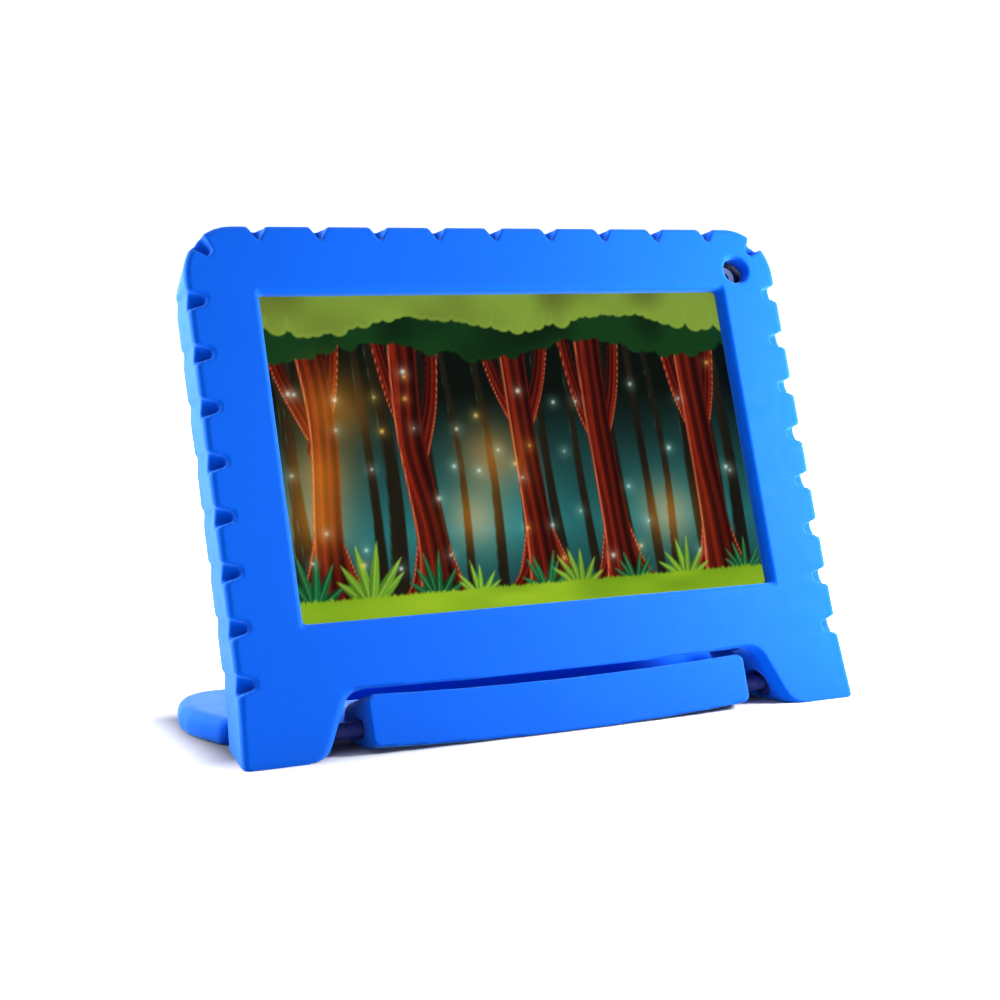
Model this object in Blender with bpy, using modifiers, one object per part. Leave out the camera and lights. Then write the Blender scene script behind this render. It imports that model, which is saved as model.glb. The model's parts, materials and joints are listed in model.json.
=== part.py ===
"""Kids' tablet in a foam bumper case, with a bar handle that swings down behind it as a stand.

Every length is in metres. The case, the tablet and the buttons are drawn upright, as x across, y back from
the front face and z up it, and hang from one empty that leans them back. The handle is drawn as it lies on
the ground, under an empty on its hinge line. The ground is z = 0, and the object is centred on x and y.
"""

import math

import bmesh
import bpy
from mathutils import Matrix, Vector

MM = 0.001
OBJECT_NAME = "kids_tablet"

# Foam case
WIDTH = 201.4 * MM
HEIGHT = 156.3 * MM
THICKNESS = 24 * MM
LEAN = math.radians(19.26)
SIDE_DRAFT = 4.2 * MM  # how far each side wall closes in from front to back
TOP_DRAFT = 2.6 * MM
CORNER = 16 * MM
LEG_FLARE = 1.3 * MM
LEG_FLARE_TOP = 21 * MM
BELOW = 6 * MM  # the blank runs this far below the ground before the legs are cut flat
RIM_ROUND = 1.8 * MM
BACK_WALL_FRONT = 15.3 * MM
GAP = 0.3 * MM

# Screen window and front camera hole in the case
WINDOW_X = 78.7 * MM
WINDOW_LOW = 38.85 * MM
WINDOW_HIGH = 135.5 * MM
WINDOW_CHAMFER = 1.3 * MM
CAMERA_X = 85.9 * MM
CAMERA_Z = 141.9 * MM

# Grips round the case: a shallow nick in the front rim, and a groove from it back along the wall
NICK_DEEP = 3.4 * MM  # back from the front face
NICK_HALF = 3.1 * MM
GROOVE_DEEP = 0.9 * MM
TOP_NICKS = 9
TOP_NICK_PITCH = 19.25 * MM
TOP_NICK_REACH = 4.7 * MM
TOP_NICK_TIP = 0.4 * MM
SIDE_NICKS = 8
SIDE_NICK_FIRST = 23.6 * MM
SIDE_NICK_PITCH = 15.73 * MM
SIDE_NICK_REACH = 5.9 * MM
SIDE_NICK_TIP = 1.3 * MM
SIDE_GROOVE_RISE = math.tan(math.radians(10))  # the side grooves climb as they run back

# Handle, its arch in the case and the hinge line, which is given in the case's upright frame
HINGE_Y = 9 * MM
HINGE_Z = 8.7 * MM
BAR_HALF = 63 * MM
BAR_RADIUS = 12.2 * MM
ARCH_RADIUS = 12.9 * MM
ARCH_CEILING = 21.6 * MM
ARCH_LIP = 2 * MM  # the arch widens towards the front face over this depth
PLATE_THICK = 7.6 * MM
PLATE_ROUND = 3.3 * MM
PIN_RADIUS = 2.5 * MM
PIN_BORE = 2.8 * MM
BUSH_RADIUS = 4.0 * MM
PIN_X = (50 * MM, 86.5 * MM)
BUSH_X = (73.6 * MM, 87.6 * MM)

# Tablet body
BODY_X = 92 * MM
BODY_LOW = 28.2 * MM
BODY_HIGH = 146.2 * MM
BODY_CORNER = 7 * MM
BODY_FRONT = 5 * MM
BODY_BACK = 15 * MM
GLASS_THICK = 1.1 * MM
COVER_WALL = 1.5 * MM
COVER_FLOOR = 13.7 * MM
PANEL_X = 80.5 * MM
PANEL_LOW = 37 * MM
PANEL_HIGH = 137.3 * MM
BOARD_Y = (11.1 * MM, 11.9 * MM)
BOARD_X = (20 * MM, 84.4 * MM)
BOARD_Z = (82 * MM, 138 * MM)
BEHIND_BOARD = 12.2 * MM

# Controls on the tablet's top edge, and sockets on its right edge
BUTTON_Y = 10 * MM
BUTTON_TOP = 147.4 * MM
POWER_X = 48.1 * MM
POWER_HALF = 4 * MM
VOLUME_X = 28.9 * MM
VOLUME_HALF = 6.5 * MM
SWITCH_OFFSET = 4.2 * MM
USB_Z = 110.1 * MM
JACK_Z = 94.4 * MM
CARD_Z = 127 * MM
SOCKET_Y = 10.6 * MM

# Rear camera and loudspeaker
REAR_CAMERA_X = -70 * MM
REAR_CAMERA_Z = 130 * MM
SPEAKER_X = -73 * MM
SPEAKER_Z = 50 * MM
SPEAKER_SLOTS = 4
SPEAKER_SLOT_PITCH = 4.2 * MM

DEPTH = 72.84 * MM  # from the front edge on the ground to the rear edge of the case's top
FRONT = -DEPTH / 2  # y of that front edge

for item in list(bpy.data.objects):
    bpy.data.objects.remove(item)
parts = bpy.data.collections.new(OBJECT_NAME)
cutters = bpy.data.collections.new("cutters")
for group in (parts, cutters):
    bpy.context.scene.collection.children.link(group)


# ---- materials ----

def material(name, colour, roughness, metallic=0.0):
    made = bpy.data.materials.new(name)
    made.use_nodes = True
    shader = made.node_tree.nodes["Principled BSDF"]
    shader.inputs["Base Color"].default_value = (*colour, 1.0)
    shader.inputs["Roughness"].default_value = roughness
    shader.inputs["Metallic"].default_value = metallic
    return made


BLUE_FOAM = material("blue_foam", (0.0, 0.16, 0.95), 0.6)
HINGE_PLASTIC = material("hinge_plastic", (0.0, 0.10, 0.62), 0.45)
GLASS = material("glass", (0.9, 0.95, 1.0), 0.05)
BLACK_PLASTIC = material("black_plastic", (0.015, 0.015, 0.02), 0.4)
PANEL = material("panel", (0.05, 0.22, 0.12), 0.3)
WHITE_FILM = material("white_film", (0.85, 0.87, 0.9), 0.5)
BOARD_GREEN = material("board_green", (0.02, 0.25, 0.10), 0.5)
SILVER_POUCH = material("silver_pouch", (0.6, 0.62, 0.65), 0.35, 0.8)
STEEL = material("steel", (0.6, 0.6, 0.62), 0.3, 1.0)
RED_LEAD = material("red_lead", (0.6, 0.03, 0.02), 0.5)
AMBER_FILM = material("amber_film", (0.75, 0.35, 0.05), 0.4)


# ---- frames of reference ----

def empty(name, matrix):
    made = bpy.data.objects.new(name, None)
    parts.objects.link(made)
    made.matrix_world = matrix
    return made


def upright_to_world(point):
    return Matrix.Translation((0, FRONT, 0)) @ Matrix.Rotation(-LEAN, 4, "X") @ Vector(point)


case_frame = empty("case_frame", Matrix.Translation((0, FRONT, 0)) @ Matrix.Rotation(-LEAN, 4, "X"))
hinge_line = empty("hinge_line", Matrix.Translation(upright_to_world((0, HINGE_Y, HINGE_Z))))
ground = empty("ground", Matrix.Identity(4))


# ---- shapes ----

def rounded(corners, step=math.radians(18)):
    """The closed outline through corners (x, z, radius), each turned into an arc of its radius."""
    points = []
    for i, (x, z, radius) in enumerate(corners):
        corner = Vector((x, z))
        before = (Vector(corners[i - 1][:2]) - corner).normalized()
        after = (Vector(corners[(i + 1) % len(corners)][:2]) - corner).normalized()
        half = before.angle(after) / 2
        if radius == 0 or half > math.radians(89):
            points.append(corner)
            continue
        centre = corner + (before + after).normalized() * radius / math.sin(half)
        start = corner + before * radius / math.tan(half) - centre
        end = corner + after * radius / math.tan(half) - centre
        turn = start.angle_signed(end)
        pieces = max(2, math.ceil(abs(turn) / step))
        for k in range(pieces + 1):
            points.append(centre + Matrix.Rotation(-turn * k / pieces, 2) @ start)
    return points


def rectangle(x, z_low, z_high, radius=0.0):
    """Outline of a rectangle that reaches x to both sides."""
    return rounded([(-x, z_low, radius), (x, z_low, radius), (x, z_high, radius), (-x, z_high, radius)])


def bowed(half, ends, middle, pieces=8):
    """Points from -half to +half on a parabola that is at `ends` there and at `middle` halfway."""
    return [
        (x, middle + (ends - middle) * (x / half) ** 2)
        for x in (half * (2 * k / pieces - 1) for k in range(pieces + 1))
    ]


def cleaned(mesh, turned=None):
    """Welds a mesh's loose caps, joins the flat triangles of each face and points all faces out."""
    if turned is not None:
        mesh.transform(turned)
    bm = bmesh.new()
    bm.from_mesh(mesh)
    bmesh.ops.remove_doubles(bm, verts=bm.verts, dist=1e-6)
    bmesh.ops.dissolve_limit(bm, angle_limit=0.002, verts=bm.verts, edges=bm.edges)
    bmesh.ops.recalc_face_normals(bm, faces=bm.faces)
    bm.to_mesh(mesh)
    bm.free()
    return mesh


def prism(outline, low, high, along="Y"):
    """A closed slab with this outline, from low to high along Y (outline x, z) or along Z (outline x, y)."""
    curve = bpy.data.curves.new("outline", "CURVE")
    curve.dimensions = "2D"
    curve.fill_mode = "BOTH"
    curve.extrude = (high - low) / 2
    spline = curve.splines.new("POLY")
    spline.points.add(len(outline) - 1)
    for point, (across, up) in zip(spline.points, outline):
        point.co = (across, up, 0, 1)
    spline.use_cyclic_u = True
    guide = bpy.data.objects.new("outline", curve)
    parts.objects.link(guide)
    graph = bpy.context.evaluated_depsgraph_get()
    mesh = bpy.data.meshes.new_from_object(guide.evaluated_get(graph))
    bpy.data.objects.remove(guide)
    bpy.data.curves.remove(curve)
    middle = (low + high) / 2
    if along == "Z":
        return cleaned(mesh, Matrix.Translation((0, 0, middle)))
    return cleaned(mesh, Matrix.Translation((0, middle, 0)) @ Matrix.Rotation(math.pi / 2, 4, "X"))


def inset(corners, depth):
    """Corners (x, y, radius) of an anticlockwise outline moved in by depth, their arcs kept concentric."""
    moved = []
    for i, (x, y, radius) in enumerate(corners):
        corner = Vector((x, y))
        before = (corner - Vector(corners[i - 1][:2])).normalized()
        after = (Vector(corners[(i + 1) % len(corners)][:2]) - corner).normalized()
        inwards = Vector((-before.y - after.y, before.x + after.x))
        corner += inwards * depth / (1 + before.dot(after))
        bulges = before.cross(after) > 0
        moved.append((*corner, radius - depth if bulges else radius + depth))
    return moved


def bullnose(corners, low, high, radius, pieces=3):
    """A slab along Z with this outline, its bottom and top edges rounded to the radius."""
    turns = [math.pi / 2 * k / pieces for k in range(pieces + 1)]
    under = [(low + radius * (1 - math.sin(turn)), turn) for turn in reversed(turns)]
    over = [(high - radius * (1 - math.sin(turn)), turn) for turn in turns]
    bm = bmesh.new()
    rings = []
    for z, turn in under + over:
        outline = rounded(inset(corners, radius * (1 - math.cos(turn))), step=math.radians(16))
        rings.append([bm.verts.new((*point, z)) for point in outline])
    for lower, upper in zip(rings, rings[1:]):
        for k in range(len(lower)):
            bm.faces.new((lower[k - 1], lower[k], upper[k], upper[k - 1]))
    bm.faces.new(reversed(rings[0]))
    bm.faces.new(rings[-1])
    mesh = bpy.data.meshes.new("bullnose")
    bm.to_mesh(mesh)
    bm.free()
    return mesh


def block(x, y, z):
    """A box between the pairs x, y and z."""
    mesh = bpy.data.meshes.new("block")
    bm = bmesh.new()
    sides = [Vector(pair) for pair in (x, y, z)]
    middle = [sum(pair) / 2 for pair in sides]
    size = [pair[1] - pair[0] for pair in sides]
    place = Matrix.Translation(middle) @ Matrix.Diagonal((*size, 1))
    bmesh.ops.create_cube(bm, size=1, matrix=place)
    bm.to_mesh(mesh)
    bm.free()
    return mesh


def drum(radius, low, high, axis, centre, sides=24, end_radius=None):
    """A cylinder or cone along axis from low to high. Centre holds its two other coordinates, in order."""
    mesh = bpy.data.meshes.new("drum")
    bm = bmesh.new()
    bmesh.ops.create_cone(
        bm, cap_ends=True, segments=sides, depth=high - low,
        radius1=radius, radius2=radius if end_radius is None else end_radius,
    )
    middle = (low + high) / 2
    if axis == "X":
        place = Matrix.Translation((middle, *centre)) @ Matrix.Rotation(math.pi / 2, 4, "Y")
    elif axis == "Y":
        place = Matrix.Translation((centre[0], middle, centre[1])) @ Matrix.Rotation(-math.pi / 2, 4, "X")
    else:
        place = Matrix.Translation((*centre, middle))
    bmesh.ops.transform(bm, matrix=place, verts=bm.verts)
    bm.to_mesh(mesh)
    bm.free()
    return mesh


def tapered(mesh, y_low, y_high, x_scale, z_scale, z_centre=0.0):
    """Scales each section in x and z, from not at all at y_low to the given scales at y_high."""
    for vertex in mesh.vertices:
        share = (vertex.co.y - y_low) / (y_high - y_low)
        vertex.co.x *= 1 + (x_scale - 1) * share
        vertex.co.z = z_centre + (vertex.co.z - z_centre) * (1 + (z_scale - 1) * share)
    return mesh


# ---- objects and modifiers ----

def place(name, mesh, parent, group):
    made = bpy.data.objects.new(name, mesh)
    group.objects.link(made)
    made.parent = parent
    mesh.name = name
    return made


def piece(name, mesh, finish, parent=case_frame):
    """One sub-part, drawn in its parent's upright frame."""
    made = place(name, mesh, parent, parts)
    mesh.materials.append(finish)
    return made


def helper(name, mesh, parent=case_frame):
    """A cutter or a shape to be joined, which isn't itself part of the object."""
    made = place(name, mesh, parent, cutters)
    made.hide_render = True
    made.display_type = "WIRE"
    return made


def combine(target, operation, name, mesh, parent=case_frame):
    """One Boolean. The manifold solver is used because the exact one leaves open edges on the case."""
    tool = helper(f"{target.name}_{name}", mesh, parent)
    modifier = target.modifiers.new(name, "BOOLEAN")
    modifier.operation = operation
    modifier.solver = "MANIFOLD"
    modifier.object = tool


def cut(target, name, mesh, parent=case_frame):
    combine(target, "DIFFERENCE", name, mesh, parent)


def round_edges(target, width, segments=2, angle=40):
    modifier = target.modifiers.new("rounded_edges", "BEVEL")
    modifier.width = width
    modifier.segments = segments
    modifier.limit_method = "ANGLE"
    modifier.angle_limit = math.radians(angle)
    modifier.use_clamp_overlap = False


def smooth(target):
    target.data.shade_smooth()
    target.data.set_sharp_from_angle(angle=math.radians(35))


# ---- foam case ----

def nick(reach, tip):
    """A cutter for one nick, at the origin: its mouth faces +z and its tip is `reach` below."""
    beyond = 4 * MM
    mouth = NICK_HALF + (NICK_HALF - tip) * beyond / reach
    return prism([(-tip, -reach), (tip, -reach), (mouth, beyond), (-mouth, beyond)], -2 * MM, NICK_DEEP)


def groove(draft, before, after, rise=0.0):
    """A cutter for one groove in a wall at z = 0 that closes in by `draft` over THICKNESS.

    It is GROOVE_DEEP at x = 0 and runs out `before` to the left and `after` to the right. It drifts to +x by
    `rise` for each unit that it runs back.
    """
    beyond = 3 * MM
    outline = [
        (0, -GROOVE_DEEP), (after, 0), (after * (1 + beyond / GROOVE_DEEP), beyond),
        (-before * (1 + beyond / GROOVE_DEEP), beyond), (-before, 0),
    ]
    cutter = prism(outline, -MM, THICKNESS + 2 * MM)
    for vertex in cutter.vertices:
        vertex.co.x += rise * vertex.co.y
        vertex.co.z -= draft / THICKNESS * vertex.co.y
    return cutter


def cut_copies(target, name, shape, places):
    """Cuts the shape at each (x, z, turn) place, all in one Boolean. Turn 0 opens upwards."""
    bm = bmesh.new()
    for x, z, turn in places:
        copy = shape.copy()
        copy.transform(Matrix.Translation((x, 0, z)) @ Matrix.Rotation(turn, 4, "Y"))
        bm.from_mesh(copy)
        bpy.data.meshes.remove(copy)
    mesh = bpy.data.meshes.new(name)
    bm.to_mesh(mesh)
    bm.free()
    cut(target, name, mesh)


def cut_grips(case):
    """Nicks along the top, down both sides and across both top corners, each with its groove."""
    half = WIDTH / 2
    top = [((k - (TOP_NICKS - 1) / 2) * TOP_NICK_PITCH, HEIGHT, 0) for k in range(TOP_NICKS)]
    diagonal = CORNER * (1 - math.sqrt(0.5))
    corners = [(side * (half - diagonal), HEIGHT - diagonal, side * math.pi / 4) for side in (-1, 1)]
    heights = [SIDE_NICK_FIRST + k * SIDE_NICK_PITCH for k in range(SIDE_NICKS)]
    sides = {side: [(side * half, z, side * math.pi / 2) for z in heights] for side in (-1, 1)}
    cut_copies(case, "top_nicks", nick(TOP_NICK_REACH, TOP_NICK_TIP), top)
    cut_copies(case, "side_nicks", nick(SIDE_NICK_REACH, SIDE_NICK_TIP), sides[-1] + sides[1] + corners)
    cut_copies(case, "top_grooves", groove(TOP_DRAFT, 2.2 * MM, 2.2 * MM), top + corners)
    short, long = 0.8 * MM, 5 * MM
    above_nick = 2.6 * MM
    # On the left wall the cutter's +x points up, and on the right wall it points down.
    left = [(x, z + above_nick, turn) for x, z, turn in sides[-1]]
    right = [(x, z + above_nick, turn) for x, z, turn in sides[1]]
    cut_copies(case, "left_grooves", groove(SIDE_DRAFT, long, short, SIDE_GROOVE_RISE), left)
    cut_copies(case, "right_grooves", groove(SIDE_DRAFT, short, long, -SIDE_GROOVE_RISE), right)


def case_blank():
    half = WIDTH / 2
    foot = half + LEG_FLARE
    outline = rounded([
        (-foot, -BELOW, 0), (foot, -BELOW, 0),
        (foot, 0, 0), (half, LEG_FLARE_TOP, 0),
        (half, HEIGHT, CORNER), (-half, HEIGHT, CORNER),
        (-half, LEG_FLARE_TOP, 0), (-foot, 0, 0),
    ], step=math.radians(11))
    blank = prism(outline, 0, THICKNESS)
    return tapered(blank, 0, THICKNESS, 1 - SIDE_DRAFT / half, 1 - TOP_DRAFT / HEIGHT)


def window_chamfer():
    """A cutter whose sides slope at 45 degrees through the window's front edge."""
    front, back = -WINDOW_CHAMFER, WINDOW_CHAMFER + 0.5 * MM
    middle = (WINDOW_LOW + WINDOW_HIGH) / 2
    half_high = (WINDOW_HIGH - WINDOW_LOW) / 2
    grown = 2 * WINDOW_CHAMFER
    chamfer = prism(rectangle(WINDOW_X, WINDOW_LOW, WINDOW_HIGH), front, back)
    tapered(chamfer, WINDOW_CHAMFER, front, 1 + grown / WINDOW_X, 1 + grown / half_high, middle)
    return chamfer


def arch_outline():
    """The handle's arch between the legs: a sagging top, sloping sides and feet that flare out."""
    corner_x, corner_z = 67.7 * MM, 19.2 * MM
    foot_x, foot_z = 76.7 * MM, -0.4 * MM
    top = bowed(60 * MM, 19.0 * MM, 17.8 * MM)
    side = [
        (corner_x, corner_z, 6 * MM), (foot_x, foot_z, 8.6 * MM),
        (86 * MM, foot_z, 0), (86 * MM, -9 * MM, 0),
    ]
    other = [(-x, z, radius) for x, z, radius in reversed(side)]
    return rounded([(x, z, 0) for x, z in top] + side + other, step=math.radians(14))


def control_slot(x, half):
    """A cutter through the case's top wall over a button, 6 mm wide inside and flared outside."""
    inner, outer = BODY_HIGH - 0.5 * MM, HEIGHT + 2 * MM
    narrow, wide = 3.2 * MM, 5.2 * MM
    outline = [(BUTTON_Y - narrow, inner), (BUTTON_Y + narrow, inner),
               (BUTTON_Y + wide, outer), (BUTTON_Y - wide, outer)]
    slot = prism(outline, -half, half)
    slot.transform(Matrix.Translation((x, 0, 0)) @ Matrix.Rotation(math.pi / 2, 4, "Z"))
    return slot


def bumper_case():
    half = WIDTH / 2
    case = piece("bumper_case", case_blank(), BLUE_FOAM)
    round_edges(case, RIM_ROUND, segments=3)
    pocket = prism(
        rectangle(BODY_X + GAP, BODY_LOW - GAP, BODY_HIGH + GAP, BODY_CORNER + GAP),
        BODY_FRONT - GAP, BACK_WALL_FRONT,
    )
    cut(case, "pocket", pocket)
    window = prism(rectangle(WINDOW_X, WINDOW_LOW, WINDOW_HIGH, 1.2 * MM), -2 * MM, BODY_FRONT + MM)
    cut(case, "window", window)
    cut(case, "window_chamfer", window_chamfer())
    camera_at = (CAMERA_X, CAMERA_Z)
    cut(case, "camera_hole", drum(4.2 * MM, -2 * MM, BODY_FRONT + MM, "Y", camera_at))
    # The cone is 5.1 mm in radius at the front face and narrower than the hole at its deep end.
    cut(case, "camera_cone", drum(6.1 * MM, -MM, 1.2 * MM, "Y", camera_at, end_radius=3.9 * MM))

    cut_grips(case)
    cut(case, "arch", prism(arch_outline(), -2 * MM, THICKNESS + 2 * MM))
    arch_lip = prism(arch_outline(), -MM, ARCH_LIP + 0.6 * MM)
    tapered(arch_lip, ARCH_LIP, -MM, 1 + 0.042, 1 + 0.045)
    cut(case, "arch_lip", arch_lip)
    hinge = (HINGE_Y, HINGE_Z)
    cut(case, "bar_swing", drum(ARCH_RADIUS, -BAR_HALF - MM, BAR_HALF + MM, "X", hinge, sides=48))
    neck_room = block((-66 * MM, 66 * MM), (HINGE_Y, THICKNESS + MM), (-8 * MM, ARCH_CEILING))
    cut(case, "neck_room", neck_room)
    for side, name in ((-1, "left"), (1, "right")):
        ends = sorted((side * 70 * MM, side * (BUSH_X[1] + GAP)))
        cut(case, f"bush_hole_{name}", drum(BUSH_RADIUS + GAP, *ends, "X", hinge))

    cut(case, "power_slot", control_slot(POWER_X, POWER_HALF + 1.5 * MM))
    cut(case, "volume_slot", control_slot(VOLUME_X, VOLUME_HALF + MM))
    usb_slot = block((BODY_X - MM, half + 3 * MM), (SOCKET_Y - 3.4 * MM, SOCKET_Y + 3.4 * MM),
                     (USB_Z - 5.5 * MM, USB_Z + 5.5 * MM))
    cut(case, "usb_slot", usb_slot)
    cut(case, "jack_hole", drum(4 * MM, BODY_X - MM, half + 3 * MM, "X", (SOCKET_Y, JACK_Z)))

    back = THICKNESS + MM
    lens_at = (REAR_CAMERA_X, REAR_CAMERA_Z)
    cut(case, "lens_hole", drum(4.2 * MM, BACK_WALL_FRONT - MM, back, "Y", lens_at, end_radius=7 * MM))
    for k in range(SPEAKER_SLOTS):
        z = SPEAKER_Z + (k - (SPEAKER_SLOTS - 1) / 2) * SPEAKER_SLOT_PITCH
        slot = prism(rectangle(8 * MM, z - 1.2 * MM, z + 1.2 * MM, 1.1 * MM), BACK_WALL_FRONT - MM, back)
        slot.transform(Matrix.Translation((SPEAKER_X, 0, 0)))
        cut(case, f"speaker_slot_{k + 1}", slot)
    back_panel = prism(rectangle(54 * MM, 50 * MM, 124 * MM, 9 * MM), THICKNESS - 1.2 * MM, back)
    cut(case, "back_panel", back_panel)
    under_ground = block((-0.15, 0.15), (-0.1, 0.15), (-0.05, 0))
    cut(case, "under_ground", under_ground, parent=ground)


# ---- handle that swings down as the stand ----

def in_hinge_frame(mesh):
    """Turns a mesh drawn in the case's upright frame into one drawn about the hinge line."""
    mesh.transform(hinge_line.matrix_world.inverted() @ case_frame.matrix_world)
    return mesh


def on_ground(mesh):
    """Turns a mesh drawn on the ground, with y from the case's front edge, into one about the hinge line."""
    mesh.transform(hinge_line.matrix_world.inverted() @ Matrix.Translation((0, FRONT, 0)))
    return mesh


def bar_outline():
    """The bar's front: both long edges bow down a little in the middle."""
    low = [(x, z, 0) for x, z in bowed(BAR_HALF, 2.6 * MM, 0.4 * MM)]
    high = [(x, z, 0) for x, z in reversed(bowed(BAR_HALF, 17.5 * MM, 15.9 * MM))]
    outline = low + high
    for k in (0, len(low) - 1, len(low), -1):
        outline[k] = (*outline[k][:2], 2.5 * MM)
    return rounded(outline)


def plate_corners():
    """One C-shaped loop in plan: two necks from the bar, shoulders behind the legs and a rear crossbar."""
    right = [
        (44, 14, 4), (BAR_HALF / MM, 14, 4), (BAR_HALF / MM, 29.3, 1.5),
        (97.3, 29.3, 4.5), (104.6, 50, 30), (96.7, 72, 14),
    ]
    inner = [(86, 54.6, 9), (80, 43, 6), (44, 39, 6)]
    loop = right + [(-x, y, radius) for x, y, radius in reversed(right)]
    loop += [(-x, y, radius) for x, y, radius in reversed(inner)] + inner
    return [(x * MM, y * MM, radius * MM) for x, y, radius in loop]


def stand_handle():
    plate = on_ground(bullnose(plate_corners(), -MM, PLATE_THICK, PLATE_ROUND))
    handle = piece("stand_handle", plate, BLUE_FOAM, parent=hinge_line)
    bar = helper("handle_bar", drum(BAR_RADIUS, -BAR_HALF, BAR_HALF, "X", (0, 0), sides=48), hinge_line)
    front = in_hinge_frame(prism(bar_outline(), 0, 26 * MM))
    combine(bar, "INTERSECT", "front", front, hinge_line)
    union = handle.modifiers.new("bar", "BOOLEAN")
    union.operation = "UNION"
    union.solver = "MANIFOLD"
    union.object = bar
    for side, name in ((-1, "left"), (1, "right")):
        ends = sorted((side * (PIN_X[0] - GAP), side * (BAR_HALF + MM)))
        cut(handle, f"pin_hole_{name}", drum(PIN_BORE, *ends, "X", (0, 0)), hinge_line)
    cut(handle, "under_ground", block((-0.15, 0.15), (-0.1, 0.15), (-0.05, 0)), ground)


def hinge_pins_and_bushes():
    for side, name in ((-1, "left"), (1, "right")):
        ends = sorted(side * x for x in PIN_X)
        pin = piece(f"hinge_pin_{name}", drum(PIN_RADIUS, *ends, "X", (0, 0)), HINGE_PLASTIC, hinge_line)
        smooth(pin)
        low, high = sorted(side * x for x in BUSH_X)
        ring = drum(BUSH_RADIUS, low, high, "X", (HINGE_Y, HINGE_Z))
        bush = piece(f"hinge_bush_{name}", ring, HINGE_PLASTIC)
        bore = drum(PIN_BORE, low - MM, high + MM, "X", (HINGE_Y, HINGE_Z))
        cut(bush, "bore", bore)


# ---- tablet shell and display ----

def back_cover():
    outline = rectangle(BODY_X, BODY_LOW, BODY_HIGH, BODY_CORNER)
    inside = rectangle(
        BODY_X - COVER_WALL, BODY_LOW + COVER_WALL, BODY_HIGH - COVER_WALL, BODY_CORNER - COVER_WALL
    )
    top_of_wall = BODY_FRONT + GLASS_THICK + GAP
    cover = piece("back_cover", prism(outline, top_of_wall, BODY_BACK), BLACK_PLASTIC)
    round_edges(cover, 0.8 * MM, segments=1, angle=60)
    cut(cover, "inside", prism(inside, top_of_wall - MM, COVER_FLOOR))
    for x, half, name in ((POWER_X, POWER_HALF, "power"), (VOLUME_X, VOLUME_HALF, "volume")):
        slot = block((x - half - 0.4 * MM, x + half + 0.4 * MM), (BUTTON_Y - 1.7 * MM, BUTTON_Y + 1.7 * MM),
                     (BODY_HIGH - 2 * MM, BODY_HIGH + MM))
        cut(cover, f"{name}_slot", slot)
    wall = (BODY_X - 2 * MM, BODY_X + MM)
    usb_mouth = block(wall, (SOCKET_Y - 1.6 * MM, SOCKET_Y + 1.6 * MM), (USB_Z - 4.1 * MM, USB_Z + 4.1 * MM))
    cut(cover, "usb_mouth", usb_mouth)
    cut(cover, "jack_mouth", drum(2.2 * MM, *wall, "X", (SOCKET_Y, JACK_Z)))
    card_mouth = block(wall, (BEHIND_BOARD, BEHIND_BOARD + 1.2 * MM), (CARD_Z - 5.6 * MM, CARD_Z + 5.6 * MM))
    cut(cover, "card_mouth", card_mouth)
    floor = (COVER_FLOOR - MM, BODY_BACK + MM)
    cut(cover, "lens_hole", drum(3.4 * MM, *floor, "Y", (REAR_CAMERA_X, REAR_CAMERA_Z)))
    for k in range(SPEAKER_SLOTS):
        z = SPEAKER_Z + (k - (SPEAKER_SLOTS - 1) / 2) * SPEAKER_SLOT_PITCH
        slot = block((SPEAKER_X - 6 * MM, SPEAKER_X + 6 * MM), floor, (z - 0.6 * MM, z + 0.6 * MM))
        cut(cover, f"speaker_slot_{k + 1}", slot)


def display_stack():
    glass_x, glass_inset = BODY_X - 0.5 * MM, 0.5 * MM
    glass = prism(
        rectangle(glass_x, BODY_LOW + glass_inset, BODY_HIGH - glass_inset, BODY_CORNER - glass_inset),
        BODY_FRONT, BODY_FRONT + GLASS_THICK,
    )
    piece("cover_glass", glass, GLASS)
    for name, y, finish in (
        ("display_panel", (6.4 * MM, 7.6 * MM), PANEL),
        ("backlight_unit", (7.9 * MM, 9.3 * MM), WHITE_FILM),
    ):
        piece(name, prism(rectangle(PANEL_X, PANEL_LOW, PANEL_HIGH, 1 * MM), *y), finish)


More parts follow.
